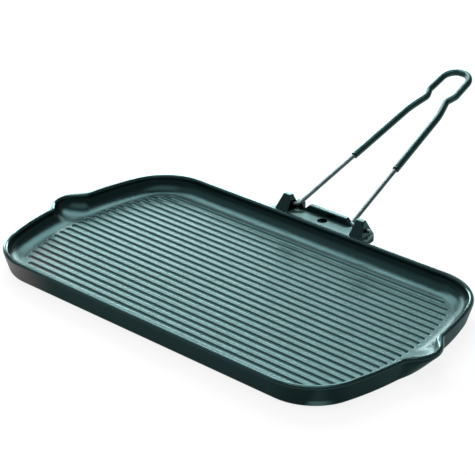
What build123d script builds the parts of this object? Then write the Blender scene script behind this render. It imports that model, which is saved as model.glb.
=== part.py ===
from build123d import *
import math
import os

# Rectangular grill pan of cast iron with two pouring spouts and a folding wire handle.
# Millimetres. +X runs along the pan, +Y points to the handle side, +Z up.
# The origin is the centre of the flat base.

# Pan body
half_length = 184.8
half_width = 105.5
corner_radius = 48.0
end_bow_radius = 240.0
rim_height = 19.0
rim_width = 5.0
rim_edge_radius = 2.2
rim_band_height = 4.5
base_inset = 5.5
base_edge_radius = 3.5

# Inner wall, a hollow curve from the rim down to the floor
floor_height = 6.4
cove_width = 12.5
cove_steps = 5
lip_steps = 3
lip_angle = 70.0

# Pouring spouts, one in the middle of each short side
spout_reach = 10.6
spout_band_draft = 0.6
spout_half_width = 26.0
spout_foot_reach = 0.8
spout_foot_half_width = 9.0
spout_flare = 0.7
spout_tip_roundness = 0.55

# Grooves in the floor, with ribs left between them
rib_pitch = 7.74
groove_top_width = 4.2
groove_bottom_width = 1.5
groove_depth = 1.35
groove_bottom_radius = 0.6
rib_edge_radius = 1.3
moat_width = 2.5
groove_end_margin = 1.2

# Handle bracket, cast in one piece with the pan
ledge_depth = 15.0
ledge_thickness = 6.0
ledge_root_half_length = 49.0
ledge_back_half_length = 46.0
ledge_corner_radius = 3.0
hang_hole_radius = 4.2
hang_hole_setback = 4.7

lug_gap_half = 32.0
lug_width = 13.0
lug_front_setback = -2.1
lug_depth = 17.1
lug_height = 12.3
lug_inner_lean = 1.7
lug_outer_lean = 3.4
lug_front_lean = 7.0
lug_top_depth = 4.0
lug_edge_radius = 1.4

stop_wall_setback = 11.2
stop_wall_thickness = 3.6
stop_wall_height = 5.8
stop_wall_half_length = 24.6
stop_wall_corner_cut = 5.5
stop_wall_edge_radius = 1.2
shoulder_gap = 1.2

# Pivot and handle
pivot_setback = 7.0
pivot_height = 4.8
wire_radius = 1.7
pivot_clearance = 0.3
stop_clearance = 0.3
handle_slope = 20.0
right_stub_length = 4.0
left_stub_length = 0.8
leg_clearance = 2.4
leg_bend_radius = 3.6
leg_length = 142.0
leg_end_half = 15.4
leg_end_bend_radius = 60.0
neck_length = 19.0
neck_half = 10.2
neck_bend_radius = 6.0
loop_shoulder_length = 8.5
loop_half = 13.6
loop_bend_radius = 6.0
loop_length = 29.5
loop_end_half = 12.4
loop_end_radius = 11.6
sleeve_start = 70.0
sleeve_radius = 3.0
sleeve_clearance = 0.05
wire_end_round = 0.5

# Places that follow from the sizes above
floor_inset = rim_width + cove_width
pivot_y = half_width + pivot_setback
pivot_z = rim_height + pivot_height
ledge_back = half_width + ledge_depth
lip_turn = math.radians(lip_angle)
lip_depth = rim_edge_radius * math.sin(lip_turn)
neck_distance = leg_length + neck_length
loop_start_distance = neck_distance + loop_shoulder_length
loop_end_distance = loop_start_distance + loop_length
cutter_rise = 1.0


def spout_half_curve(start, tip_x, slope, toward):
    """Half of a spout's rim line: an S curve that leaves the bowed end smoothly and crosses its tip squarely."""
    start_x, half = start
    flare_y = half * spout_flare
    flare = (start_x + (half - flare_y) * slope, -toward * flare_y)
    crown = (tip_x, -toward * half * spout_tip_roundness)
    return Bezier((start_x, -toward * half), flare, crown, (tip_x, 0))


def end_arc_centres():
    """X of the right end's bow centre, then x and y of its back corner's centre, where the two arcs are tangent."""
    bow_x = half_length - end_bow_radius
    corner_y = half_width - corner_radius
    corner_x = bow_x + math.sqrt((end_bow_radius - corner_radius) ** 2 - corner_y ** 2)
    return bow_x, corner_x, corner_y


def pan_outline(inset, height, reach, half):
    """Pan outline drawn in by inset, at one height: bowed ends with a spout in each, and straight long sides."""
    bow_radius = end_bow_radius - inset
    bow_x, corner_x, corner_y = end_arc_centres()
    corner_turn = math.degrees(math.atan2(corner_y, corner_x - bow_x))
    spout_turn = math.degrees(math.asin(half / bow_radius))
    spout_start = (bow_x + math.sqrt(bow_radius ** 2 - half ** 2), half)
    slope = math.tan(math.radians(spout_turn))
    tip_x = half_length - inset + reach
    back_bow = CenterArc((bow_x, 0), bow_radius, spout_turn, corner_turn - spout_turn)
    right_end = [
        mirror(back_bow, Plane.XZ),
        spout_half_curve(spout_start, tip_x, slope, 1),
        spout_half_curve(spout_start, tip_x, slope, -1),
        back_bow,
    ]
    corner = CenterArc((corner_x, corner_y), corner_radius - inset, corner_turn, 90 - corner_turn)
    side_y = half_width - inset
    back_side = Line((corner_x, side_y), (-corner_x, side_y))
    left_corner = mirror(corner, Plane.YZ)
    left_end = [mirror(edge, Plane.YZ) for edge in right_end]
    front = [mirror(edge, Plane.XZ) for edge in (corner, back_side, left_corner)]
    outline = make_face(right_end + [corner, back_side, left_corner] + left_end + front)
    return Pos(0, 0, height) * outline


def outer_block():
    """Solid block of the pan's outside, drawn in towards the base."""
    band_inset = base_inset * rim_band_height / rim_height
    band_reach = spout_reach - spout_band_draft
    base = pan_outline(base_inset, 0, spout_foot_reach, spout_half_width)
    band = pan_outline(band_inset, rim_height - rim_band_height, band_reach, spout_half_width)
    top = pan_outline(0, rim_height, spout_reach, spout_half_width)
    block = loft([base, band, top], ruled=True)
    base_face = block.faces().sort_by(Axis.Z)[0]
    block = fillet(base_face.edges(), base_edge_radius)
    top_face = block.faces().sort_by(Axis.Z)[-1]
    return fillet(top_face.edges(), rim_edge_radius)


def cove_section(turn):
    """Outline of the inside at one angle of the quarter ellipse, from the rim down to the floor."""
    across = math.cos(turn)
    down = rim_height - lip_depth - floor_height
    mouth_half = spout_half_width - rim_width
    reach = spout_foot_reach + (spout_reach - spout_foot_reach) * across
    half = spout_foot_half_width + (mouth_half - spout_foot_half_width) * across
    height = floor_height + down * (1 - math.sin(turn))
    return pan_outline(floor_inset - cove_width * across, height, reach, half)


def lip_section(turn):
    """Outline of the inside at one angle of the rounding between the wall and the rim's top."""
    widening = rim_edge_radius * (1 - math.cos(turn))
    height = rim_height - lip_depth + rim_edge_radius * math.sin(turn)
    half = spout_half_width - rim_width + widening
    return pan_outline(rim_width - widening, height, spout_reach, half)


def cavity():
    """Space inside the pan: a hollow wall, a rounded lip and the open mouth above it."""
    quarter = math.pi / 2
    cove = [cove_section(quarter * step / cove_steps) for step in range(cove_steps, -1, -1)]
    lip = [lip_section(lip_turn * step / lip_steps) for step in range(lip_steps + 1)]
    mouth = extrude(lip[-1], cutter_rise)
    return [loft(cove), loft(lip), mouth]


def floor_half_length(y):
    """Half length of the flat floor at y, where its bowed end or its corner arc ends it."""
    bow_x, corner_x, corner_y = end_arc_centres()
    bow_radius = end_bow_radius - floor_inset
    corner_start = bow_radius * corner_y / (end_bow_radius - corner_radius)
    if y <= corner_start:
        return bow_x + math.sqrt(bow_radius ** 2 - y ** 2)
    return corner_x + math.sqrt((corner_radius - floor_inset) ** 2 - (y - corner_y) ** 2)


def groove_half_length(y):
    """Half length of the groove at y; it stops a margin before the wall, measured at its outer edge."""
    outer_edge = abs(y) + groove_top_width / 2
    return floor_half_length(outer_edge) - groove_end_margin


def groove_positions():
    """Y of each groove; as many as fit between the moats, even about the middle."""
    room = half_width - floor_inset - moat_width
    per_side = int(room / rib_pitch)
    return [(place + 0.5) * rib_pitch for place in range(-per_side, per_side)]


def groove_cutter(y):
    """One groove with sloping sides and round ends, open above the ribs."""
    centre_half = groove_half_length(y) - groove_top_width / 2
    slope = (groove_top_width - groove_bottom_width) / groove_depth
    mouth_width = groove_top_width + slope * cutter_rise
    mouth = Pos(0, y, floor_height + cutter_rise) * SlotCenterToCenter(2 * centre_half, mouth_width)
    bottom_z = floor_height - groove_depth
    bottom = Pos(0, y, bottom_z) * SlotCenterToCenter(2 * centre_half, groove_bottom_width)
    cutter = loft([bottom, mouth], ruled=True)
    bottom_edges = cutter.faces().sort_by(Axis.Z)[0].edges()
    return fillet(bottom_edges, groove_bottom_radius)


def rib_edges(pan):
    """Edges where the grooves open in the floor."""
    floor_face = [
        face for face in pan.faces().filter_by(Plane.XY)
        if abs(face.center().Z - floor_height) < 0.01
    ]
    largest = max(floor_face, key=lambda face: face.area)
    edges = ShapeList()
    for wire in largest.inner_wires():
        edges += wire.edges()
    return edges


def ledge():
    """Flat ledge behind the back rim, level with the rim top."""
    root_y = half_width - rim_width / 2
    plan = make_face(Polyline(
        (-ledge_root_half_length, root_y),
        (-ledge_back_half_length, ledge_back),
        (ledge_back_half_length, ledge_back),
        (ledge_root_half_length, root_y),
        close=True,
    ))
    back_corners = plan.vertices().group_by(Axis.Y)[-1]
    plan = fillet(back_corners, ledge_corner_radius)
    return Pos(0, 0, rim_height - ledge_thickness) * extrude(plan, ledge_thickness)


def rectangle_between(x_low, x_high, y_low, y_high, height):
    """Rectangle given by its sides, at one height."""
    middle = Pos((x_low + x_high) / 2, (y_low + y_high) / 2, height)
    return middle * Rectangle(x_high - x_low, y_high - y_low)


def lug():
    """Right-hand lug, a fin that narrows upwards; its mirror image is the left one."""
    outer = lug_gap_half + lug_width
    front = half_width + lug_front_setback
    foot = rectangle_between(lug_gap_half, outer, front, front + lug_depth, rim_height)
    top_front = front + lug_front_lean
    top = rectangle_between(
        lug_gap_half + lug_inner_lean, outer - lug_outer_lean,
        top_front, top_front + lug_top_depth, rim_height + lug_height,
    )
    fin = loft([foot, top], ruled=True)
    rounded = fin.edges().filter_by(lambda edge: edge.center().Z > rim_height + 0.1)
    fin = fillet(rounded, lug_edge_radius)
    root = Pos(0, 0, -ledge_thickness / 2) * extrude(foot, ledge_thickness / 2)
    return fin + root


def leg_plane_height(y):
    """Height of the handle's middle plane at y, with the handle folded out."""
    return pivot_z + (y - pivot_y) * math.tan(math.radians(handle_slope))


def stop_wall():
    """Upright wall between the lugs, with a lower shoulder at each end for the legs."""
    front = half_width + stop_wall_setback
    back = front + stop_wall_thickness
    low_z = rim_height - ledge_thickness / 2
    top_z = rim_height + stop_wall_height
    top_half = stop_wall_half_length - stop_wall_corner_cut
    shape = make_face(Polyline(
        (-stop_wall_half_length, low_z),
        (-stop_wall_half_length, top_z - stop_wall_corner_cut),
        (-top_half, top_z),
        (top_half, top_z),
        (stop_wall_half_length, top_z - stop_wall_corner_cut),
        (stop_wall_half_length, low_z),
        close=True,
    ))
    face_plane = Plane(origin=(0, front, 0), x_dir=(1, 0, 0), z_dir=(0, -1, 0))
    middle = extrude(face_plane * shape, -stop_wall_thickness)
    top_edges = middle.edges().filter_by(lambda edge: edge.center().Z > low_z + stop_wall_edge_radius)
    middle = fillet(top_edges.filter_by(lambda edge: abs(edge.center().Y - front) < 0.01), stop_wall_edge_radius)
    drop = (wire_radius + stop_clearance) / math.cos(math.radians(handle_slope))
    side = make_face(Polyline(
        (front, low_z),
        (front, leg_plane_height(front) - drop),
        (back, leg_plane_height(back) - drop),
        (back, low_z),
        close=True,
    ))
    shoulder_start = stop_wall_half_length + shoulder_gap
    shoulder_length = lug_gap_half + lug_inner_lean - shoulder_start
    side_plane = Plane(origin=(shoulder_start, 0, 0), x_dir=(0, 1, 0), z_dir=(1, 0, 0))
    shoulder = extrude(side_plane * side, shoulder_length)
    return middle + shoulder + mirror(shoulder, Plane.YZ)


def pivot_holes():
    """Bore through both lugs for the ends of the handle wire."""
    length = 2 * (lug_gap_half + lug_width + cutter_rise)
    bore = Cylinder(wire_radius + pivot_clearance, length)
    return Pos(0, pivot_y, pivot_z) * Rot(0, 90, 0) * bore


def hang_hole():
    """Vertical hole through the ledge."""
    hole = Cylinder(hang_hole_radius, ledge_thickness + 2 * cutter_rise)
    return Pos(0, half_width + hang_hole_setback, rim_height - ledge_thickness / 2) * hole


def pan_casting():
    """The whole casting: dish, grooves, spouts and handle bracket."""
    pan = outer_block() - cavity()
    grooves = [groove_cutter(y) for y in groove_positions()]
    pan = pan - grooves
    pan = fillet(rib_edges(pan), rib_edge_radius)
    right_lug = lug()
    pan = pan + ledge() + right_lug + mirror(right_lug, Plane.YZ) + stop_wall()
    return pan - pivot_holes() - hang_hole()


def handle_plane():
    """Plane of the handle when it is folded out; its x runs along the pivot."""
    slope = math.radians(handle_slope)
    return Plane(
        origin=(0, pivot_y, pivot_z), x_dir=(1, 0, 0),
        z_dir=(0, -math.sin(slope), math.cos(slope)),
    )


def leg_half_at(distance):
    """Half distance between the straight legs, that far from the pivot."""
    root = lug_gap_half + lug_inner_lean - leg_bend_radius - leg_clearance
    return root + (leg_end_half - root) * distance / leg_length


def upper_path(start):
    """Right half of the wire's route past the leg, from start to the top of the loop."""
    return [
        start,
        (leg_end_half, leg_length),
        (neck_half, neck_distance),
        (loop_half, loop_start_distance),
        (loop_end_half, loop_end_distance),
    ]


def upper_radii():
    """Bend radii of the route past the leg, in the order of its corners."""
    return [leg_end_bend_radius, neck_bend_radius, loop_bend_radius, loop_end_radius]


def both_sides(points):
    """Points of the right half followed by their mirror images, in the order of the wire."""
    return points + [(-x, distance) for x, distance in reversed(points)]


def wire_path(points, radii):
    """Route of the wire as straight runs joined by arcs; the radii of the second half mirror the first."""
    return FilletPolyline(*points, radius=radii + radii[::-1])


def swept_rod(path, radius):
    """Round rod along a path in the handle's plane."""
    placed = handle_plane() * path
    section = Plane(origin=placed @ 0, z_dir=placed % 0) * Circle(radius)
    return sweep(section, path=placed)


def handle_wire():
    """One bent spring wire; its ends turn outwards through the lugs."""
    outer_at_hole = lug_gap_half + lug_width - lug_outer_lean * pivot_height / lug_height
    right_end = (outer_at_hole + right_stub_length, 0)
    left_end = (-outer_at_hole - left_stub_length, 0)
    leg_root = (leg_half_at(0), 0)
    points = [right_end] + both_sides(upper_path(leg_root)) + [left_end]
    wire = swept_rod(wire_path(points, [leg_bend_radius] + upper_radii()), wire_radius)
    end_faces = wire.faces().sort_by(Axis.X)
    end_edges = end_faces[0].edges() + end_faces[-1].edges()
    return fillet(end_edges, wire_end_round)


def grip_sleeve():
    """Tube over the upper part of the wire, from leg to leg round the loop."""
    start = (leg_half_at(sleeve_start), sleeve_start)
    path = wire_path(both_sides(upper_path(start)), upper_radii())
    return swept_rod(path, sleeve_radius) - swept_rod(path, wire_radius + sleeve_clearance)


def build():
    os.makedirs("parts", exist_ok=True)
    export_step(pan_casting(), "parts/pan_casting.step")
    export_step(handle_wire(), "parts/handle_wire.step")
    export_step(grip_sleeve(), "parts/grip_sleeve.step")


build()
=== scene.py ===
"""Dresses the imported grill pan: enamelled casting, spring wire handle and grip sleeve, in a studio.

Everything is in metres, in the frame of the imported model. The file is laid out as an add-on and
run as a script.
"""
import math

import bpy
import numpy as np
from bpy.props import FloatProperty, FloatVectorProperty, PointerProperty
from bpy.types import Operator, Panel, PropertyGroup
from mathutils import Matrix, Vector


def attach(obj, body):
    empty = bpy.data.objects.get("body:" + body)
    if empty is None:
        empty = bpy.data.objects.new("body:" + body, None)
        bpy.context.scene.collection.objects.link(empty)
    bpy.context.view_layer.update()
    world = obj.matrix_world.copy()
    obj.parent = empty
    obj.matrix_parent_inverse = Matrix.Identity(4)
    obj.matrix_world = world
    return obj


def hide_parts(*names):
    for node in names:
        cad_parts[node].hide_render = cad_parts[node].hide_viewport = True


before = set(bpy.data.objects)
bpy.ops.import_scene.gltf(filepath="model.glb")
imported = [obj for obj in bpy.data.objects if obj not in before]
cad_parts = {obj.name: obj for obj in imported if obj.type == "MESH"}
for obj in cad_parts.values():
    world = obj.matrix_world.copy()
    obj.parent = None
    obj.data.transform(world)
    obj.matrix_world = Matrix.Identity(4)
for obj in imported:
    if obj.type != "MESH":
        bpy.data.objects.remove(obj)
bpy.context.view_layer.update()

bl_info = {
    "name": "Grill pan dresser",
    "version": (1, 0, 0),
    "blender": (4, 5, 0),
    "location": "3D View > Sidebar > Grill pan",
    "description": "Finishes of a cast grill pan with a folding wire handle, and its studio",
    "category": "Object",
}

# Camera that the photograph was taken with, worked out from the pan's rim, base and ribs
CAMERA_AZIMUTH = math.radians(41.53)
CAMERA_ELEVATION = math.radians(26.61)
CAMERA_DISTANCE = 1.4273
CAMERA_AIM = Vector((-0.0565, 0.0703, 0.0))
CAMERA_NEAR, CAMERA_FAR = 0.05, 60.0
FOCAL_PIXELS = 1738.9
PHOTO_PIXELS = 475
SENSOR_WIDTH = 36.0

# The pan's own sizes, as in the part's source
RIM_HEIGHT = 0.019
FLOOR_HEIGHT = 0.0064
PAN_HALF_LENGTH = 0.1848
PAN_HALF_WIDTH = 0.1055

# Bands over which one finish of the casting gives way to the next
RIM_BAND = (RIM_HEIGHT - 0.0028, RIM_HEIGHT - 0.0009)
HOLLOW_BAND = (FLOOR_HEIGHT - 0.0012, FLOOR_HEIGHT - 0.00025)
RIB_TOP_BAND = (0.0, 0.0005)
LEDGE_BAND = (PAN_HALF_WIDTH - 0.003, PAN_HALF_WIDTH - 0.0015)
WALL_BAND = (0.86, 0.9)  # shares of the half length and half width
OUTWARD_BAND = (0.01, 0.04)  # reach of the place along the way the surface faces
LEVEL_BAND = (0.86, 0.97)  # upward part of the way the surface faces
SPECKLE_BAND = (0.35, 0.7)
# Painted warm reflection at the left front corner, lighter than the enamel: its middle and reach
WARM_REFLECTION_PLACE = (-0.172, -0.092, 0.0)
WARM_REFLECTION_BAND = (0.025, 0.085)  # distances from the middle of the painted warm reflection

# What each zone adds to the casting's roughness, and how far each zone's colour covers: painted shade
# on the outside, painted reflection in the hollows, painted highlight on the rim
RIM_ROUGHNESS = -0.12
OUTSIDE_ROUGHNESS = 0.12
HOLLOW_ROUGHNESS = 0.3
LEDGE_ROUGHNESS = 0.3
SPECKLE_ROUGHNESS = 0.03
OUTSIDE_SHADE_COVER = 0.8
HOLLOW_REFLECTION_COVER = 0.9
RIM_HIGHLIGHT_COVER = 0.8
HOLLOW_WARM_REFLECTION_COVER = 0.7
LEAST_RIB_WEAR = 0.4
ENAMEL_GLOSS_SPREAD = (-0.012, 0.03)

# How much lighter or darker a worn or stained finish, or the painted shade on the outside, is: a
# scale, and for enamel also a lift
WORN_ENAMEL = (1.5, 0.004)
OUTSIDE_PAINTED_SHADE = 0.55
STAINED_WIRE = 0.5
RUBBED_SLEEVE = 1.6
WIRE_STAIN_COVER = 0.5
SLEEVE_RUB_COVER = 0.6
WIRE_LINE_ROUGHNESS = 0.06
SCUFF_ROUGHNESS = 0.1
UNEVEN_BAND = (0.32, 0.68)  # values of the noise that give the lower and the upper limit

# Noise along the swept pieces, on their UV map: repeats for each metre round a tube and along it
LENGTH_MAP = "Length"
DRAWN_LINES = (6000.0, 70.0, 1.0)
SCUFF_LINES = (1800.0, 90.0, 1.0)
SCUFF_BAND = (0.55, 0.75)

# The handle in its own plane: half widths and distances from the pivot
PIVOT_Y = 0.1125
PIVOT_Z = 0.0238
HANDLE_SLOPE = 20.0
WIRE_RADIUS = 0.0017
WIRE_ROUNDING = 0.0005
WIRE_RIGHT_END = 0.04767
WIRE_LEFT_END = 0.04447
LEG_ROOT_HALF = 0.0277
LEG_BEND = 0.0036
LEG_LENGTH = 0.142
HANDLE_CORNERS = [(0.0154, 0.142), (0.0102, 0.161), (0.0136, 0.1695), (0.0124, 0.199)]
HANDLE_BENDS = [0.06, 0.006, 0.006, 0.0116]
SLEEVE_START = 0.07
SLEEVE_RADIUS = 0.003
SLEEVE_BORE = 0.00175
SLEEVE_ROUNDING = 0.0005
# Ring pressed near each end of the sleeve: distance in from the end and depth there
SLEEVE_RING = ((0.0012, 0.0), (0.0014, 0.00009), (0.0017, 0.00013), (0.002, 0.00009),
               (0.0023, 0.0))

# Fineness of the swept meshes
RING_POINTS = 28
ROUTE_STEP = 0.0012
ARC_TURN = 0.09
LEAST_ARC_STEPS = 6
STATION_STEP = 0.0011
WIRE_CLEAR_END = WIRE_ROUNDING * 1.5  # stations at an even step begin this far in
SLEEVE_CLEAR_END = 0.0035
BORE_STATIONS = 320
ROUNDING_STATIONS = 6
RUN_REACH = 0.0004  # the route's direction is taken between points this far to each side
SHARP_EDGE = math.radians(50)

# The studio
FLOOR_REACH = 12.0
FLOOR_PAINT = (0.9, 0.9, 0.9, 1)
FLOOR_WHITE = 0.86  # share of plain white in what the camera sees of the floor
FLOOR_MIRRORED_WHITE = 0.6
SKY_STOPS = ((0.04, (1, 1, 1, 1)), (0.22, (0.33, 0.34, 0.34, 1)))
COOL_WHITE = (0.95, 1.0, 1.0)
# Lamps: name, place, point aimed at, width, height, power and colour
LAMPS = (
    ("back_box", (-0.7, 0.56, 0.22), (0, 0, 0.05), 0.95, 0.29, 11.5, COOL_WHITE),
    ("cove_box", (-0.72, 0.78, 1.02), (0, 0, 0), 1.2, 0.42, 18, COOL_WHITE),
    ("left_box", (-1.1, -0.55, 1.25), (0, 0, 0), 1.1, 1.1, 3.5, COOL_WHITE),
    ("top_box", (0.1, -0.2, 1.9), (0, 0, 0), 1.4, 1.4, 14, (1, 1, 1)),
)


class PanFinish(PropertyGroup):
    """Colours and finishes of the grill pan's own surfaces."""

    enamel_colour: FloatVectorProperty(
        name="Enamel colour", description="Colour of the satin black enamel",
        subtype="COLOR", size=3, min=0, max=1, default=(0.012, 0.027, 0.028),
    )
    enamel_gloss_tint: FloatVectorProperty(
        name="Enamel gloss tint", description="Tint of the light that the enamel mirrors",
        subtype="COLOR", size=3, min=0, max=1, default=(0.9, 1.0, 1.0),
    )
    enamel_roughness: FloatProperty(
        name="Enamel roughness", description="Roughness of the enamel before its variation",
        subtype="FACTOR", min=0, max=1, default=0.28,
    )
    enamel_grain: FloatProperty(
        name="Enamel grain", description="Size of the enamel's fine grain", subtype="DISTANCE",
        unit="LENGTH", min=0.0001, max=0.01, default=0.0009,
    )
    # Painted reflection: this lighter colour in the grooves stands in for the light they mirror.
    hollow_painted_reflection: FloatVectorProperty(
        name="Hollow colour", description="Colour of the grooves, where oil and residue have set",
        subtype="COLOR", size=3, min=0, max=1, default=(0.08, 0.155, 0.155),
    )
    # Painted highlight: this lighter colour on the rim makes its highlight line stand out.
    rim_painted_highlight: FloatVectorProperty(
        name="Rim colour", description="Colour of the rim, polished by use",
        subtype="COLOR", size=3, min=0, max=1, default=(0.03, 0.06, 0.061),
    )
    # Painted reflection: this warm, lighter colour at the left front corner stands in for a warm
    # reflection there.
    corner_painted_reflection: FloatVectorProperty(
        name="Heat stain colour", description="Warm grey of the heat stain at one corner",
        subtype="COLOR", size=3, min=0, max=1, default=(0.16, 0.12, 0.122),
    )
    # Painted reflection: this lighter colour on the ledge and lug tops stands in for the light they
    # mirror.
    ledge_painted_reflection: FloatVectorProperty(
        name="Ledge colour", description="Colour of the rubbed ledge and lug tops",
        subtype="COLOR", size=3, min=0, max=1, default=(0.07, 0.12, 0.12),
    )
    # Painted shade: this darker tint dims what the outside mirrors, standing in for the shaded floor
    # in front.
    outside_shaded_tint: FloatVectorProperty(
        name="Outside gloss tint", description="Tint of the light that the duller outside mirrors",
        subtype="COLOR", size=3, min=0, max=1, default=(0.62, 0.74, 0.74),
    )
    wire_colour: FloatVectorProperty(
        name="Wire colour", description="Colour of the drawn spring wire",
        subtype="COLOR", size=3, min=0, max=1, default=(0.11, 0.145, 0.15),
    )
    wire_edge_tint: FloatVectorProperty(
        name="Wire edge tint", description="Tint that darkens the wire where it turns away",
        subtype="COLOR", size=3, min=0, max=1, default=(0.25, 0.32, 0.32),
    )
    sleeve_colour: FloatVectorProperty(
        name="Sleeve colour", description="Colour of the grip sleeve",
        subtype="COLOR", size=3, min=0, max=1, default=(0.02, 0.042, 0.043),
    )


def new_material(name):
    """Empty node material with its node tree and its output node."""
    material = bpy.data.materials.new(name)
    material.use_nodes = True
    tree = material.node_tree
    tree.nodes.clear()
    output = tree.nodes.new("ShaderNodeOutputMaterial")
    return material, tree, output


def wire_up(tree, node, inputs):
    """Fills a node's inputs: sockets are linked, plain values are set.

    Underscores in names stand for spaces, and i0 or i1 is the input at that place.
    """
    for key, value in inputs.items():
        by_place = key[1:].isdigit()
        socket = node.inputs[int(key[1:])] if by_place else node.inputs[key.replace("_", " ")]
        if isinstance(value, bpy.types.NodeSocket):
            tree.links.new(value, socket)
        else:
            socket.default_value = value


def put(tree, kind, label, **inputs):
    """Adds a node with its inputs filled."""
    node = tree.nodes.new(kind)
    node.label = label
    wire_up(tree, node, inputs)
    return node


def calc(tree, operation, first, second=0.0):
    """Result of a plain sum, product or comparison of two values."""
    node = tree.nodes.new("ShaderNodeMath")
    node.operation = operation
    wire_up(tree, node, {"i0": first, "i1": second})
    return node.outputs[0]


def vector_calc(tree, operation, first, second):
    """Single value worked out from two vectors, such as their distance."""
    node = tree.nodes.new("ShaderNodeVectorMath")
    node.operation = operation
    wire_up(tree, node, {"i0": first, "i1": second})
    return node.outputs["Value"]


def ramp_between(tree, value, low, high, out_low=0.0, out_high=1.0):
    """Value that goes smoothly from out_low to out_high while the input goes from low to high."""
    node = tree.nodes.new("ShaderNodeMapRange")
    node.interpolation_type = "SMOOTHSTEP"
    wire_up(tree, node, {"Value": value, "From_Min": low, "From_Max": high,
                         "To_Min": out_low, "To_Max": out_high})
    return node.outputs["Result"]


def blend_colours(tree, share, first, second):
    """Colour between two colours."""
    node = tree.nodes.new("ShaderNodeMix")
    node.data_type = "RGBA"
    wire_up(tree, node, {"i0": share, "i6": first, "i7": second})
    return node.outputs[2]


def opaque(colour, scale=1.0, lift=0.0):
    """Colour for a socket, made darker or lighter by a scale and a lift."""
    return (*(part * scale + lift for part in colour), 1)


def new_group(name, inputs, outputs):
    """Shared node group and the nodes for its sockets, which are None where it exists already."""
    if name in bpy.data.node_groups:
        return bpy.data.node_groups[name], None, None
    tree = bpy.data.node_groups.new(name, "ShaderNodeTree")
    for kind, sockets in (("INPUT", inputs), ("OUTPUT", outputs)):
        for label, socket_type in sockets:
            tree.interface.new_socket(label, in_out=kind, socket_type=socket_type)
    enter = tree.nodes.new("NodeGroupInput")
    leave = tree.nodes.new("NodeGroupOutput")
    return tree, enter, leave


def uneven_group():
    """Shared effect: a soft uneven value between two limits."""
    tree, enter, leave = new_group(
        "soft_unevenness",
        (("Vector", "NodeSocketVector"), ("Size", "NodeSocketFloat"), ("Low", "NodeSocketFloat"),
         ("High", "NodeSocketFloat")),
        (("Value", "NodeSocketFloat"),),
    )
    if enter is None:
        return tree
    scale = calc(tree, "DIVIDE", 1.0, enter.outputs["Size"])
    broad = put(tree, "ShaderNodeTexNoise", "broad", Vector=enter.outputs["Vector"], Scale=scale,
                Detail=3.0, Roughness=0.6, Distortion=0.4)
    value = ramp_between(tree, broad.outputs["Fac"], *UNEVEN_BAND, enter.outputs["Low"],
                         enter.outputs["High"])
    tree.links.new(value, leave.inputs["Value"])
    return tree


def grain_group():
    """Shared effect: a normal with a soft orange peel and a fine grain, and the grain's value."""
    tree, enter, leave = new_group(
        "grained_normal",
        (("Vector", "NodeSocketVector"), ("Grain Size", "NodeSocketFloat"),
         ("Grain Depth", "NodeSocketFloat"), ("Peel Size", "NodeSocketFloat"),
         ("Peel Depth", "NodeSocketFloat")),
        (("Normal", "NodeSocketVector"), ("Speckle", "NodeSocketFloat")),
    )
    if enter is None:
        return tree
    place = enter.outputs["Vector"]
    peel_scale = calc(tree, "DIVIDE", 1.0, enter.outputs["Peel Size"])
    peel = put(tree, "ShaderNodeTexNoise", "orange peel", Vector=place, Scale=peel_scale,
               Detail=1.0)
    peel_bump = put(tree, "ShaderNodeBump", "peel height", Distance=enter.outputs["Peel Depth"],
                    Height=peel.outputs["Fac"])
    grain_scale = calc(tree, "DIVIDE", 1.0, enter.outputs["Grain Size"])
    grain = put(tree, "ShaderNodeTexNoise", "fine grain", Vector=place, Scale=grain_scale,
                Detail=2.0, Roughness=0.6)
    grain_bump = put(tree, "ShaderNodeBump", "grain height", Distance=enter.outputs["Grain Depth"],
                     Height=grain.outputs["Fac"], Normal=peel_bump.outputs["Normal"])
    tree.links.new(grain_bump.outputs["Normal"], leave.inputs["Normal"])
    tree.links.new(grain.outputs["Fac"], leave.inputs["Speckle"])
    return tree


def lines_group():
    """Shared effect: noise drawn out into lines along a swept piece, read from its own UV map."""
    tree, enter, leave = new_group(
        "lines_along",
        (("Vector", "NodeSocketVector"), ("Repeats", "NodeSocketVector"),
         ("Detail", "NodeSocketFloat")),
        (("Value", "NodeSocketFloat"),),
    )
    if enter is None:
        return tree
    stretch = put(tree, "ShaderNodeMapping", "stretch", Vector=enter.outputs["Vector"],
                  Scale=enter.outputs["Repeats"])
    lines = put(tree, "ShaderNodeTexNoise", "lines", Vector=stretch.outputs["Vector"], Scale=1.0,
                Detail=enter.outputs["Detail"])
    tree.links.new(lines.outputs["Fac"], leave.inputs["Value"])
    return tree


def use_group(tree, group, **inputs):
    """Adds a shared effect with its inputs filled."""
    node = tree.nodes.new("ShaderNodeGroup")
    node.node_tree = group
    wire_up(tree, node, inputs)
    return node


def object_place(tree):
    """The object's own coordinates."""
    return tree.nodes.new("ShaderNodeTexCoord").outputs["Object"]


def swept_lines(tree, repeats, detail):
    """Value of the lines along a swept piece."""
    along = tree.nodes.new("ShaderNodeUVMap")
    along.uv_map = LENGTH_MAP
    return use_group(tree, lines_group(), Vector=along.outputs["UV"], Repeats=repeats,
                     Detail=detail).outputs["Value"]


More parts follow.
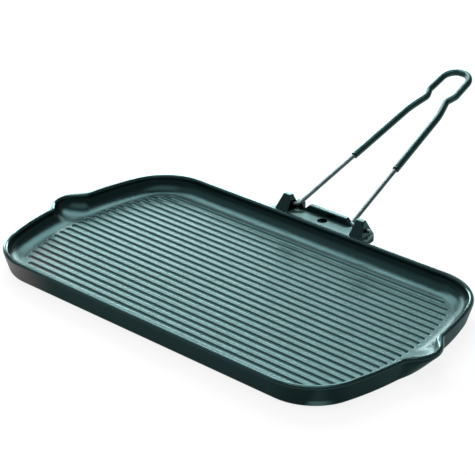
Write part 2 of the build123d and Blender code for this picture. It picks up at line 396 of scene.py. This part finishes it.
def pan_zones(tree, place):
    """Masks on the casting: rim, outside, rib tops, hollows, ledge and painted warm reflection."""
    east, north, height = put(tree, "ShaderNodeSeparateXYZ", "place", Vector=place).outputs
    facing = tree.nodes.new("ShaderNodeNewGeometry").outputs["Normal"]
    upward = put(tree, "ShaderNodeSeparateXYZ", "facing", Vector=facing).outputs["Z"]
    flat = put(tree, "ShaderNodeCombineXYZ", "level place", X=east, Y=north, Z=0.0).outputs[0]

    rim = ramp_between(tree, height, *RIM_BAND)
    along = calc(tree, "DIVIDE", calc(tree, "ABSOLUTE", east), PAN_HALF_LENGTH)
    across = calc(tree, "DIVIDE", calc(tree, "ABSOLUTE", north), PAN_HALF_WIDTH)
    walls = ramp_between(tree, calc(tree, "MAXIMUM", along, across), *WALL_BAND)
    outward = ramp_between(tree, vector_calc(tree, "DOT_PRODUCT", flat, facing), *OUTWARD_BAND)
    outside = calc(tree, "MULTIPLY", outward, walls)
    outside = calc(tree, "MULTIPLY", outside, calc(tree, "SUBTRACT", 1.0, rim))

    level = ramp_between(tree, upward, *LEVEL_BAND)
    above_floor = calc(tree, "ABSOLUTE", calc(tree, "SUBTRACT", height, FLOOR_HEIGHT))
    on_floor = ramp_between(tree, above_floor, *RIB_TOP_BAND, 1.0, 0.0)
    hollow = ramp_between(tree, height, *HOLLOW_BAND, 1.0, 0.0)
    behind = ramp_between(tree, north, *LEDGE_BAND)
    # Distance from the middle of the painted warm reflection
    gap = vector_calc(tree, "DISTANCE", flat, WARM_REFLECTION_PLACE)
    return {
        "rim": rim,
        "outside": outside,
        "rib_top": calc(tree, "MULTIPLY", level, on_floor),
        "hollow": calc(tree, "MULTIPLY", hollow, calc(tree, "SUBTRACT", 1.0, walls)),
        "ledge": calc(tree, "MULTIPLY", behind, calc(tree, "MULTIPLY", level, rim)),
        "warm_reflection": ramp_between(tree, gap, *WARM_REFLECTION_BAND, 1.0, 0.0),
    }


def enamelled_iron(finish):
    """Satin black enamel over cast iron, with a finish of its own in each zone.

    The rim is glossier and painted lighter as a highlight, the rib tops are worn, the hollows are
    painted lighter as a reflection, the outside is duller and painted darker as shade, the ledge is
    painted lighter as a reflection, and one corner has a painted warm reflection.
    """
    material, tree, output = new_material("enamelled_iron")
    place = object_place(tree)
    zones = pan_zones(tree, place)
    grain = use_group(tree, grain_group(), Vector=place, Grain_Size=finish.enamel_grain,
                      Grain_Depth=0.00002, Peel_Size=0.003, Peel_Depth=0.00002)
    smoothest, roughest = (finish.enamel_roughness + change for change in ENAMEL_GLOSS_SPREAD)
    gloss = use_group(tree, uneven_group(), Vector=place, Size=0.03, Low=smoothest, High=roughest)
    patches = use_group(tree, uneven_group(), Vector=place, Size=0.011, Low=0.0, High=1.0)
    speckle = ramp_between(tree, grain.outputs["Speckle"], *SPECKLE_BAND)

    rough = gloss.outputs["Value"]
    for zone, change in (
        (zones["rim"], RIM_ROUGHNESS),
        (zones["outside"], OUTSIDE_ROUGHNESS),
        (zones["hollow"], HOLLOW_ROUGHNESS),
        (zones["ledge"], LEDGE_ROUGHNESS),
        (speckle, SPECKLE_ROUGHNESS),
    ):
        rough = calc(tree, "ADD", rough, calc(tree, "MULTIPLY", zone, change))

    wear = calc(tree, "MULTIPLY", patches.outputs["Value"], 1.0 - LEAST_RIB_WEAR)
    wear = calc(tree, "ADD", wear, LEAST_RIB_WEAR)
    # Painted warm reflection: over the outside near the corner, and more thinly over the hollows
    # there
    hollow_warm_reflection = calc(tree, "MULTIPLY", zones["hollow"], HOLLOW_WARM_REFLECTION_COVER)
    warm_reflection_share = calc(tree, "MAXIMUM", zones["outside"], hollow_warm_reflection)
    colour = opaque(finish.enamel_colour)
    # Real wear on the rib tops; painted shade on the outside; painted reflection in the hollows, at
    # one corner and on the ledge; painted highlight on the rim
    for share, paint in (
        (calc(tree, "MULTIPLY", zones["rib_top"], wear),
         opaque(finish.enamel_colour, *WORN_ENAMEL)),
        (calc(tree, "MULTIPLY", zones["outside"], OUTSIDE_SHADE_COVER),
         opaque(finish.enamel_colour, OUTSIDE_PAINTED_SHADE)),
        (calc(tree, "MULTIPLY", zones["hollow"], HOLLOW_REFLECTION_COVER), opaque(finish.hollow_painted_reflection)),
        (calc(tree, "MULTIPLY", zones["rim"], RIM_HIGHLIGHT_COVER), opaque(finish.rim_painted_highlight)),
        (calc(tree, "MULTIPLY", zones["warm_reflection"], warm_reflection_share), opaque(finish.corner_painted_reflection)),
        (zones["ledge"], opaque(finish.ledge_painted_reflection)),
    ):
        colour = blend_colours(tree, share, colour, paint)
    # Painted shade: the outside mirrors through a darker tint
    tint = blend_colours(tree, zones["outside"], opaque(finish.enamel_gloss_tint),
                         opaque(finish.outside_shaded_tint))

    shader = put(tree, "ShaderNodeBsdfPrincipled", "satin enamel", Metallic=1.0, Base_Color=colour,
                 Roughness=rough, Specular_Tint=tint, Normal=grain.outputs["Normal"])
    tree.links.new(shader.outputs["BSDF"], output.inputs["Surface"])
    return material


def spring_wire(finish):
    """Drawn steel wire: fine lines along it, dark stains and a soft unevenness."""
    material, tree, output = new_material("spring_wire")
    place = object_place(tree)
    lines = swept_lines(tree, DRAWN_LINES, 2.0)
    bump = put(tree, "ShaderNodeBump", "line height", Distance=0.000006, Height=lines)
    stain = use_group(tree, uneven_group(), Vector=place, Size=0.009, Low=0.0, High=1.0)
    gloss = use_group(tree, uneven_group(), Vector=place, Size=0.004, Low=0.16, High=0.26)
    share = calc(tree, "MULTIPLY", stain.outputs["Value"], WIRE_STAIN_COVER)
    colour = blend_colours(tree, share, opaque(finish.wire_colour),
                           opaque(finish.wire_colour, STAINED_WIRE))
    rough = calc(tree, "MULTIPLY", lines, WIRE_LINE_ROUGHNESS)
    rough = calc(tree, "ADD", gloss.outputs["Value"], rough)
    shader = put(tree, "ShaderNodeBsdfPrincipled", "drawn steel", Metallic=1.0, Base_Color=colour,
                 Roughness=rough, Specular_Tint=opaque(finish.wire_edge_tint),
                 Normal=bump.outputs["Normal"])
    tree.links.new(shader.outputs["BSDF"], output.inputs["Surface"])
    return material


def grip_sleeve(finish):
    """Dark glossy sleeve: dipped finish with a faint peel, rubbed patches and fine scuffs."""
    material, tree, output = new_material("grip_sleeve")
    place = object_place(tree)
    grain = use_group(tree, grain_group(), Vector=place, Grain_Size=0.0006, Grain_Depth=0.000003,
                      Peel_Size=0.0028, Peel_Depth=0.000015)
    gloss = use_group(tree, uneven_group(), Vector=place, Size=0.012, Low=0.2, High=0.3)
    rubbed = use_group(tree, uneven_group(), Vector=place, Size=0.02, Low=0.0, High=1.0)
    marks = ramp_between(tree, swept_lines(tree, SCUFF_LINES, 3.0), *SCUFF_BAND)
    rough = calc(tree, "MULTIPLY", marks, SCUFF_ROUGHNESS)
    rough = calc(tree, "ADD", gloss.outputs["Value"], rough)
    share = calc(tree, "MULTIPLY", rubbed.outputs["Value"], SLEEVE_RUB_COVER)
    colour = blend_colours(tree, share, opaque(finish.sleeve_colour),
                           opaque(finish.sleeve_colour, RUBBED_SLEEVE))
    shader = put(tree, "ShaderNodeBsdfPrincipled", "satin sleeve", Metallic=1.0, Base_Color=colour,
                 Roughness=rough, Specular_Tint=opaque(finish.enamel_gloss_tint),
                 Normal=grain.outputs["Normal"])
    tree.links.new(shader.outputs["BSDF"], output.inputs["Surface"])
    return material


def straight_run(start, end, step):
    """Evenly spaced points from start to end, without start and with end."""
    count = max(1, int(round(np.linalg.norm(end - start) / step)))
    return start + (end - start) * np.linspace(0, 1, count + 1)[1:, None]


def rounded_route(corners, radii, step):
    """Points along straight runs joined by circular arcs, about a step apart.

    At a corner that turns by an angle a, the arc of radius r begins r tan(a / 2) before the corner
    and ends as far past it. Its centre lies square to the first run at the arc's beginning.
    """
    corners = np.array(corners, float)
    parts = [corners[:1]]
    for before, corner, after, radius in zip(corners, corners[1:], corners[2:], radii):
        first = (corner - before) / np.linalg.norm(corner - before)
        second = (after - corner) / np.linalg.norm(after - corner)
        turn = math.atan2(first[0] * second[1] - first[1] * second[0], first @ second)
        start = corner - first * radius * math.tan(abs(turn) / 2)
        side = math.copysign(1.0, turn) * np.array([-first[1], first[0]])
        centre = start + side * radius
        parts.append(straight_run(parts[-1][-1], start, step))
        count = max(LEAST_ARC_STEPS, int(abs(turn) * radius / step), int(abs(turn) / ARC_TURN))
        angle = np.linspace(0, turn, count + 1)[1:, None]
        arm = start - centre
        square_arm = np.array([-arm[1], arm[0]])
        parts.append(centre + (np.cos(angle) * arm + np.sin(angle) * square_arm))
    parts.append(straight_run(parts[-1][-1], corners[-1], step))
    return np.concatenate(parts)


def handle_route(start_corners, radii, end_corners):
    """Route of the handle in its own plane: x along the pivot and the distance from the pivot."""
    right = start_corners + HANDLE_CORNERS
    left = [(-x, away) for x, away in reversed(HANDLE_CORNERS)] + end_corners
    bends = radii + HANDLE_BENDS
    return rounded_route(right + left, bends + bends[::-1], ROUTE_STEP)


def route_lengths(route):
    """Distance along the route at each of its points."""
    return np.r_[0, np.cumsum(np.linalg.norm(np.diff(route, axis=0), axis=1))]


def points_along(route, lengths, places):
    """Points of a route at places along it, kept between its ends."""
    places = np.clip(places, 0, lengths[-1])
    return np.c_[np.interp(places, lengths, route[:, 0]),
                 np.interp(places, lengths, route[:, 1])]


def tube_points(route, distance, radius):
    """Rings of points round a route in the handle's plane, one for each distance along it.

    The point at angle a on a ring is the route's point, plus the radius times cosine a to the
    route's right, less the radius times sine a square to the handle's plane.
    """
    lengths = route_lengths(route)
    ahead = points_along(route, lengths, distance + RUN_REACH)
    run = ahead - points_along(route, lengths, distance - RUN_REACH)
    run /= np.linalg.norm(run, axis=1)[:, None]
    slope = math.radians(HANDLE_SLOPE)
    east = np.array([1.0, 0, 0])
    away = np.array([0, math.cos(slope), math.sin(slope)])
    square = np.array([0, -math.sin(slope), math.cos(slope)])
    flat = points_along(route, lengths, distance)
    middle = np.array([0, PIVOT_Y, PIVOT_Z]) + flat[:, :1] * east + flat[:, 1:] * away
    right = run[:, 1:] * east - run[:, :1] * away
    angle = 2 * math.pi * np.arange(RING_POINTS) / RING_POINTS
    ring = np.cos(angle)[None, :, None] * right[:, None, :]
    ring = ring - np.sin(angle)[None, :, None] * square
    return (middle[:, None, :] + radius[:, None, None] * ring).reshape(-1, 3)


def swept_tube(name, route, stations, closed):
    """Tube whose radius follows the stations, each a distance along the route and a radius there.

    A closed tube joins its last ring to its first, which makes the wall of a sleeve; an open one
    gets a flat cap at each end. Its UV map holds lengths: round the tube, and along its surface.
    """
    distance, radius = np.array(stations).T
    count = len(distance)
    rows = count if closed else count - 1
    row, column = np.meshgrid(np.arange(rows), np.arange(RING_POINTS), indexing="ij")
    next_row, next_column = (row + 1) % count, (column + 1) % RING_POINTS
    faces = np.stack([row * RING_POINTS + column, row * RING_POINTS + next_column,
                      next_row * RING_POINTS + next_column, next_row * RING_POINTS + column],
                     axis=-1).reshape(-1, 4).tolist()

    around = np.stack([column, column + 1, column + 1, column], axis=-1) / RING_POINTS
    surface = np.r_[0, np.cumsum(np.hypot(np.diff(distance), np.diff(radius)))]
    surface = np.r_[surface, surface[-1] + abs(radius[-1] - radius[0])]
    along = np.stack([surface[row], surface[row], surface[row + 1], surface[row + 1]], axis=-1)
    uv = np.stack([around * 2 * math.pi * radius.max(), along], axis=-1).reshape(-1, 2)
    if not closed:
        faces.append(list(range(RING_POINTS))[::-1])
        faces.append([(count - 1) * RING_POINTS + place for place in range(RING_POINTS)])
        uv = np.r_[uv, np.zeros((2 * RING_POINTS, 2))]

    mesh = bpy.data.meshes.new(name)
    mesh.from_pydata(tube_points(route, distance, radius).tolist(), [], faces)
    layer = mesh.uv_layers.new(name=LENGTH_MAP)
    layer.data.foreach_set("uv", uv.ravel())
    mesh.validate()
    mesh.shade_smooth()
    mesh.set_sharp_from_angle(angle=SHARP_EDGE)
    made = bpy.data.objects.new(name, mesh)
    bpy.context.scene.collection.objects.link(made)
    return made


def end_rounding(radius, rounding):
    """Stations of an end rounded by a quarter circle.

    At angle a, the station lies the rounding times 1 - cosine a in from the end, and its radius is
    short of the full one by the rounding times 1 - sine a.
    """
    turns = np.linspace(0, math.pi / 2, ROUNDING_STATIONS)
    return [(rounding * (1 - math.cos(turn)), radius - rounding * (1 - math.sin(turn)))
            for turn in turns]


def stations_between(ends, radius, length, clear):
    """Stations of a whole tube: an end's own, evenly spaced ones, and the end's own mirrored."""
    even = [(place, radius) for place in np.arange(clear, length - clear, STATION_STEP)]
    return ends + even + [(length - place, size) for place, size in reversed(ends)]


def wire_piece():
    """The whole bent wire, with rounded ends turned out through the lugs."""
    route = handle_route([(WIRE_RIGHT_END, 0.0), (LEG_ROOT_HALF, 0.0)], [LEG_BEND],
                         [(-LEG_ROOT_HALF, 0.0), (-WIRE_LEFT_END, 0.0)])
    stations = stations_between(end_rounding(WIRE_RADIUS, WIRE_ROUNDING), WIRE_RADIUS,
                                route_lengths(route)[-1], WIRE_CLEAR_END)
    return swept_tube("bent_wire", route, stations, closed=False)


def sleeve_piece():
    """The sleeve's wall, with a small ring pressed near each of its rounded ends."""
    share = SLEEVE_START / LEG_LENGTH
    start_half = LEG_ROOT_HALF + (HANDLE_CORNERS[0][0] - LEG_ROOT_HALF) * share
    route = handle_route([(start_half, SLEEVE_START)], [], [(-start_half, SLEEVE_START)])
    length = route_lengths(route)[-1]
    ends = end_rounding(SLEEVE_RADIUS, SLEEVE_ROUNDING)
    ends += [(place, SLEEVE_RADIUS - depth) for place, depth in SLEEVE_RING]
    outer = stations_between(ends, SLEEVE_RADIUS, length, SLEEVE_CLEAR_END)
    inner = [(place, SLEEVE_BORE) for place in np.linspace(length, 0, BORE_STATIONS)]
    return swept_tube("sleeve_wall", route, outer + inner, closed=True)


def dress(node, material):
    """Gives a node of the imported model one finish."""
    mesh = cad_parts[node].data
    mesh.materials.clear()
    mesh.materials.append(material)


def finish_piece(piece, material, node):
    """Gives a swept piece its finish, and lets it stand for a node of the handle."""
    piece.data.materials.append(material)
    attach(piece, "handle")
    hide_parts(node)


class PAN_OT_casting(Operator):
    """Finish the pan casting"""

    bl_idname = "grill_pan.casting"
    bl_label = "Pan casting"

    def execute(self, context):
        dress("pan_casting", enamelled_iron(context.scene.grill_pan))
        return {"FINISHED"}


class PAN_OT_wire(Operator):
    """Sweep the bent wire and finish it"""

    bl_idname = "grill_pan.wire"
    bl_label = "Handle wire"

    def execute(self, context):
        material = spring_wire(context.scene.grill_pan)
        finish_piece(wire_piece(), material, "handle_wire")
        return {"FINISHED"}


class PAN_OT_sleeve(Operator):
    """Sweep the grip sleeve and finish it"""

    bl_idname = "grill_pan.sleeve"
    bl_label = "Grip sleeve"

    def execute(self, context):
        material = grip_sleeve(context.scene.grill_pan)
        finish_piece(sleeve_piece(), material, "grip_sleeve")
        return {"FINISHED"}


def studio_floor():
    """Wide pale floor; it keeps the pan's shadow, softened by its own white."""
    mesh = bpy.data.meshes.new("studio_floor")
    near, far = -FLOOR_REACH, FLOOR_REACH
    corners = [(near, near, 0), (far, near, 0), (far, far, 0), (near, far, 0)]
    mesh.from_pydata(corners, [], [(0, 1, 2, 3)])
    floor = bpy.data.objects.new("studio_floor", mesh)
    bpy.context.scene.collection.objects.link(floor)
    material, tree, output = new_material("studio_floor")
    paint = put(tree, "ShaderNodeBsdfDiffuse", "white paint", Color=FLOOR_PAINT)
    white = put(tree, "ShaderNodeEmission", "background white", Color=(1, 1, 1, 1), Strength=1.0)
    path = tree.nodes.new("ShaderNodeLightPath").outputs
    seen = calc(tree, "MAXIMUM", path["Is Camera Ray"], path["Is Transmission Ray"])
    seen = calc(tree, "MULTIPLY", seen, FLOOR_WHITE)
    mirrored = calc(tree, "MULTIPLY", path["Is Glossy Ray"], FLOOR_MIRRORED_WHITE)
    mix = put(tree, "ShaderNodeMixShader", "floor", i0=calc(tree, "MAXIMUM", seen, mirrored),
              i1=paint.outputs["BSDF"], i2=white.outputs["Emission"])
    tree.links.new(mix.outputs["Shader"], output.inputs["Surface"])
    mesh.materials.append(material)


def studio_world():
    """Plain studio surroundings: white at the horizon, greyer overhead."""
    world = bpy.data.worlds.new("studio_world")
    world.use_nodes = True
    bpy.context.scene.world = world
    tree = world.node_tree
    tree.nodes.clear()
    output = tree.nodes.new("ShaderNodeOutputWorld")
    where = tree.nodes.new("ShaderNodeTexCoord").outputs["Generated"]
    height = put(tree, "ShaderNodeSeparateXYZ", "direction", Vector=where).outputs["Z"]
    ramp = put(tree, "ShaderNodeValToRGB", "horizon to overhead", Fac=height)
    for stop, (position, colour) in zip(ramp.color_ramp.elements, SKY_STOPS):
        stop.position = position
        stop.color = colour
    sky = put(tree, "ShaderNodeBackground", "surroundings", Color=ramp.outputs["Color"],
              Strength=1.0)
    tree.links.new(sky.outputs["Background"], output.inputs["Surface"])


def soft_box(name, place, aim, width, height, power, colour):
    """Rectangular studio lamp at a place, aimed at a point."""
    lamp = bpy.data.lights.new(name, "AREA")
    lamp.shape = "RECTANGLE"
    lamp.size, lamp.size_y = width, height
    lamp.energy = power
    lamp.color = colour
    box = bpy.data.objects.new(name, lamp)
    bpy.context.scene.collection.objects.link(box)
    box.location = place
    box.rotation_euler = (Vector(aim) - Vector(place)).to_track_quat("-Z", "Y").to_euler()


def camera_axes():
    """Right, up and backward directions of the camera."""
    back = Vector((
        math.sin(CAMERA_AZIMUTH) * math.cos(CAMERA_ELEVATION),
        -math.cos(CAMERA_AZIMUTH) * math.cos(CAMERA_ELEVATION),
        math.sin(CAMERA_ELEVATION),
    ))
    right = Vector((math.cos(CAMERA_AZIMUTH), math.sin(CAMERA_AZIMUTH), 0))
    return right, back.cross(right), back


def photo_camera():
    """Camera at the photograph's place, with the photograph's angle of view."""
    data = bpy.data.cameras.new("photo_camera")
    data.sensor_width = SENSOR_WIDTH
    data.lens = FOCAL_PIXELS / PHOTO_PIXELS * SENSOR_WIDTH
    data.clip_start, data.clip_end = CAMERA_NEAR, CAMERA_FAR
    camera = bpy.data.objects.new("photo_camera", data)
    bpy.context.scene.collection.objects.link(camera)
    right, up, back = camera_axes()
    turn = Matrix((right, up, back)).transposed().to_4x4()
    camera.matrix_world = Matrix.Translation(CAMERA_AIM + CAMERA_DISTANCE * back) @ turn
    bpy.context.scene.camera = camera


class PAN_OT_stage(Operator):
    """Build the floor, the surroundings, the lamps and the camera"""

    bl_idname = "grill_pan.stage"
    bl_label = "Studio"

    def execute(self, context):
        context.scene.view_settings.view_transform = "Standard"
        studio_floor()
        studio_world()
        for lamp in LAMPS:
            soft_box(*lamp)
        photo_camera()
        return {"FINISHED"}


class PAN_PT_sidebar(Panel):
    """Buttons and values of the grill pan"""

    bl_idname = "PAN_PT_sidebar"
    bl_label = "Grill pan"
    bl_space_type = "VIEW_3D"
    bl_region_type = "UI"
    bl_category = "Grill pan"

    def draw(self, context):
        finish = context.scene.grill_pan
        for name in finish.bl_rna.properties.keys():
            if name not in {"rna_type", "name"}:
                self.layout.prop(finish, name)
        for operator in OPERATORS:
            self.layout.operator(operator.bl_idname)


OPERATORS = (PAN_OT_casting, PAN_OT_wire, PAN_OT_sleeve, PAN_OT_stage)
CLASSES = (PanFinish, *OPERATORS, PAN_PT_sidebar)


def register():
    """Makes the classes and the scene's own values known to Blender."""
    for made in CLASSES:
        bpy.utils.register_class(made)
    bpy.types.Scene.grill_pan = PointerProperty(type=PanFinish)


def unregister():
    """Takes back what register did."""
    del bpy.types.Scene.grill_pan
    for made in reversed(CLASSES):
        bpy.utils.unregister_class(made)


def main():
    """Builds everything in order."""
    register()
    bpy.ops.grill_pan.casting()
    bpy.ops.grill_pan.wire()
    bpy.ops.grill_pan.sleeve()
    bpy.ops.grill_pan.stage()


if __name__ == "__main__":
    main()
